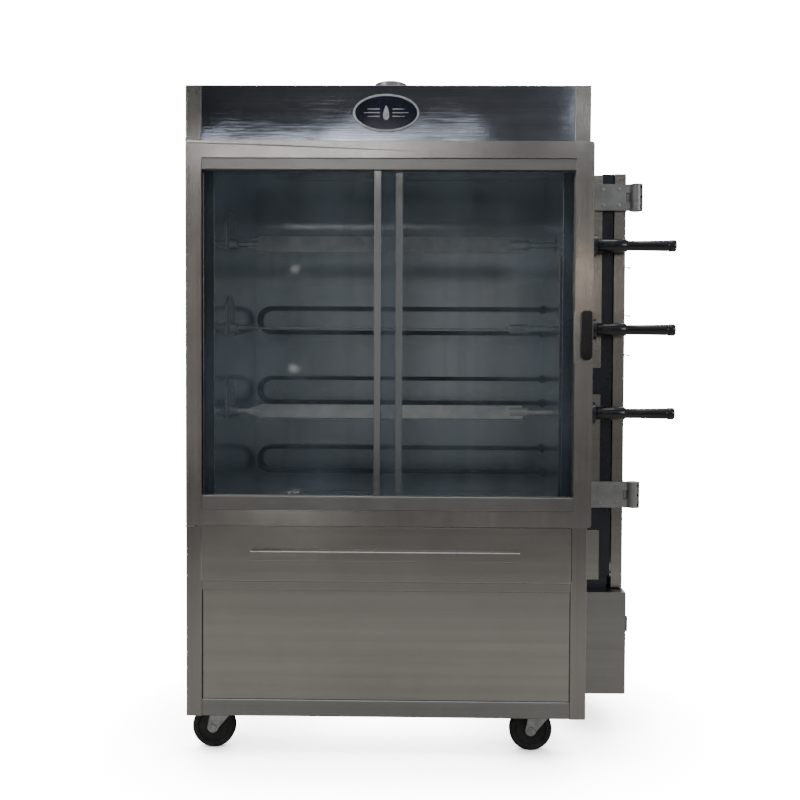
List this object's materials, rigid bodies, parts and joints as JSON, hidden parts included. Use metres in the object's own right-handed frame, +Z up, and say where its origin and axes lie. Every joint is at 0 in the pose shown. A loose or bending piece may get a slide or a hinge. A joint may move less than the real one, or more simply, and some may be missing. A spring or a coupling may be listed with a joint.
{
  "type": "rotisserie oven",
  "caption": "Tall stainless rotisserie cabinet oven with sliding glass panes in a swinging door, driven flat spits with side handles, drip drawer and swivel casters.",
  "frame": {"origin": "middle of the object's footprint on the floor", "axes": "+X towards the spit handles, +Y towards the back, +Z up; the glazed door faces -Y"},
  "size_m": [1.4314, 0.692, 1.998],
  "materials": {
    "stainless_brushed": "brushed",
    "stainless_satin": "satin",
    "liner_steel": "satin, heat tinted",
    "cast_aluminium": "satin",
    "zinc_steel": "zinc plated",
    "element_steel": "oxidised",
    "black_enamel": "gloss",
    "black_plastic": "gloss",
    "badge_enamel": "gloss",
    "caster_rubber": "matte",
    "pane_glass": "clear"
  },
  "bodies": {
    "cabinet": {"base_frame": "stainless_satin", "corner_posts": "stainless_brushed", "side_panels": "stainless_satin", "back_panel": "stainless_satin", "top_panel": "stainless_brushed", "fascia": "stainless_brushed", "flue_collar": "zinc_steel", "badge": "badge_enamel", "lower_panel": "stainless_brushed", "drawer_sill": "stainless_brushed", "oven_liner": "liner_steel", "heating_elements": "element_steel", "wall_guard": "stainless_brushed", "spit_bearings": "cast_aluminium", "drive_chassis": "stainless_brushed", "gearmotors": "black_enamel", "column_plate": "black_enamel", "hinge_brackets": "cast_aluminium", "control_box": "stainless_brushed", "cable_gland": "black_plastic", "door_pivots": "zinc_steel", "drawer_rails": "zinc_steel", "fasteners": "zinc_steel"},
    "door": {"door_frame": "stainless_brushed", "pane_tracks": "stainless_satin", "latch_plate": "cast_aluminium"},
    "left_pane": {"pane_left_frame": "stainless_brushed", "pane_left_glass": "pane_glass"},
    "right_pane": {"pane_right_frame": "stainless_brushed", "pane_right_glass": "pane_glass"},
    "latch": {"latch_lever": "black_plastic"},
    "drawer": {"drawer_pan": "stainless_satin", "drawer_front": "stainless_brushed", "drawer_pull": "stainless_brushed"},
    "column_cover": {"drive_cover": "stainless_brushed", "cover_hinge_leaves": "cast_aluminium"},
    "switch_1": {"toggle_1": "zinc_steel"},
    "switch_2": {"toggle_2": "zinc_steel"},
    "switch_3": {"toggle_3": "zinc_steel"},
    "hub_1": {"drive_gear_1": "black_enamel"},
    "skewer_1": {"spit_1": "stainless_brushed", "handle_1": "black_plastic"},
    "motor_gear_1": {"pinion_1": "zinc_steel"},
    "hub_2": {"drive_gear_2": "black_enamel"},
    "skewer_2": {"spit_2": "stainless_brushed", "handle_2": "black_plastic"},
    "motor_gear_2": {"pinion_2": "zinc_steel"},
    "hub_3": {"drive_gear_3": "black_enamel"},
    "skewer_3": {"spit_3": "stainless_brushed", "handle_3": "black_plastic"},
    "motor_gear_3": {"pinion_3": "zinc_steel"},
    "knob": {"thermostat_knob": "black_plastic"},
    "caster_1": {"fork_1": "zinc_steel"},
    "roller_1": {"wheel_1": "caster_rubber"},
    "caster_2": {"fork_2": "zinc_steel"},
    "roller_2": {"wheel_2": "caster_rubber"},
    "caster_3": {"fork_3": "zinc_steel"},
    "roller_3": {"wheel_3": "caster_rubber"},
    "caster_4": {"fork_4": "zinc_steel"},
    "roller_4": {"wheel_4": "caster_rubber"}
  },
  "joints": [
    {"name": "door_swing", "type": "hinge", "parent": "cabinet", "child": "door", "pos_m": [-0.68625, -0.318, 1.2], "axis": [0, 0, -1], "range_deg": [0, 110]},
    {"name": "left_pane_slide", "type": "slide", "parent": "door", "child": "left_pane", "axis": [1, 0, 0], "range_m": [0, 0.46]},
    {"name": "right_pane_slide", "type": "slide", "parent": "door", "child": "right_pane", "axis": [-1, 0, 0], "range_m": [0, 0.46]},
    {"name": "latch_turn", "type": "hinge", "parent": "door", "child": "latch", "pos_m": [0.40875, -0.334, 1.154], "axis": [0, -1, 0], "range_deg": [0, 90]},
    {"name": "drawer_slide", "type": "slide", "parent": "cabinet", "child": "drawer", "axis": [0, -1, 0], "range_m": [0, 0.45]},
    {"name": "column_cover_swing", "type": "hinge", "parent": "cabinet", "child": "column_cover", "pos_m": [0.59975, -0.052, 1.18], "axis": [0, 0, -1], "range_deg": [0, 90]},
    {"name": "switch_1_flip", "type": "hinge", "parent": "column_cover", "child": "switch_1", "pos_m": [0.57375, 0.006, 1.167], "axis": [0, 1, 0], "range_deg": [-26, 0]},
    {"name": "switch_2_flip", "type": "hinge", "parent": "column_cover", "child": "switch_2", "pos_m": [0.57375, 0.006, 1.29], "axis": [0, 1, 0], "range_deg": [-26, 0]},
    {"name": "switch_3_flip", "type": "hinge", "parent": "column_cover", "child": "switch_3", "pos_m": [0.57375, 0.006, 1.44], "axis": [0, 1, 0], "range_deg": [-26, 0]},
    {"name": "spit_1_turn", "type": "hinge", "parent": "cabinet", "child": "hub_1", "pos_m": [0.44775, -0.079, 0.984], "axis": [1, 0, 0], "continuous": true},
    {"name": "spit_1_withdraw", "type": "slide", "parent": "hub_1", "child": "skewer_1", "axis": [1, 0, 0], "range_m": [0, 1.12]},
    {"name": "motor_gear_1_turn", "type": "hinge", "parent": "cabinet", "child": "motor_gear_1", "pos_m": [0.44775, -0.019, 0.984], "axis": [1, 0, 0], "continuous": true},
    {"name": "spit_2_turn", "type": "hinge", "parent": "cabinet", "child": "hub_2", "pos_m": [0.44775, -0.079, 1.238], "axis": [1, 0, 0], "continuous": true},
    {"name": "spit_2_withdraw", "type": "slide", "parent": "hub_2", "child": "skewer_2", "axis": [1, 0, 0], "range_m": [0, 1.12]},
    {"name": "motor_gear_2_turn", "type": "hinge", "parent": "cabinet", "child": "motor_gear_2", "pos_m": [0.44775, -0.019, 1.238], "axis": [1, 0, 0], "continuous": true},
    {"name": "spit_3_turn", "type": "hinge", "parent": "cabinet", "child": "hub_3", "pos_m": [0.44775, -0.079, 1.492], "axis": [1, 0, 0], "continuous": true},
    {"name": "spit_3_withdraw", "type": "slide", "parent": "hub_3", "child": "skewer_3", "axis": [1, 0, 0], "range_m": [0, 1.12]},
    {"name": "motor_gear_3_turn", "type": "hinge", "parent": "cabinet", "child": "motor_gear_3", "pos_m": [0.44775, -0.019, 1.492], "axis": [1, 0, 0], "continuous": true},
    {"name": "thermostat_turn", "type": "hinge", "parent": "cabinet", "child": "knob", "pos_m": [0.57475, 0.006, 0.316], "axis": [1, 0, 0], "range_deg": [0, 270]},
    {"name": "caster_1_swivel", "type": "hinge", "parent": "cabinet", "child": "caster_1", "pos_m": [-0.60725, -0.195, 0.14], "axis": [0, 0, 1], "continuous": true},
    {"name": "wheel_1_roll", "type": "hinge", "parent": "caster_1", "child": "roller_1", "pos_m": [-0.65325, -0.195, 0.0625], "axis": [0, 1, 0], "continuous": true},
    {"name": "caster_2_swivel", "type": "hinge", "parent": "cabinet", "child": "caster_2", "pos_m": [0.32275, -0.195, 0.14], "axis": [0, 0, 1], "continuous": true},
    {"name": "wheel_2_roll", "type": "hinge", "parent": "caster_2", "child": "roller_2", "pos_m": [0.27675, -0.195, 0.0625], "axis": [0, 1, 0], "continuous": true},
    {"name": "caster_3_swivel", "type": "hinge", "parent": "cabinet", "child": "caster_3", "pos_m": [-0.60725, 0.247, 0.14], "axis": [0, 0, 1], "continuous": true},
    {"name": "wheel_3_roll", "type": "hinge", "parent": "caster_3", "child": "roller_3", "pos_m": [-0.65325, 0.247, 0.0625], "axis": [0, 1, 0], "continuous": true},
    {"name": "caster_4_swivel", "type": "hinge", "parent": "cabinet", "child": "caster_4", "pos_m": [0.32275, 0.247, 0.14], "axis": [0, 0, 1], "continuous": true},
    {"name": "wheel_4_roll", "type": "hinge", "parent": "caster_4", "child": "roller_4", "pos_m": [0.27675, 0.247, 0.0625], "axis": [0, 1, 0], "continuous": true}
  ],
  "couplings": [
    {"joint": "motor_gear_1_turn", "follows": "spit_1_turn", "ratio": -3},
    {"joint": "motor_gear_2_turn", "follows": "spit_2_turn", "ratio": -3},
    {"joint": "motor_gear_3_turn", "follows": "spit_3_turn", "ratio": -3}
  ]
}
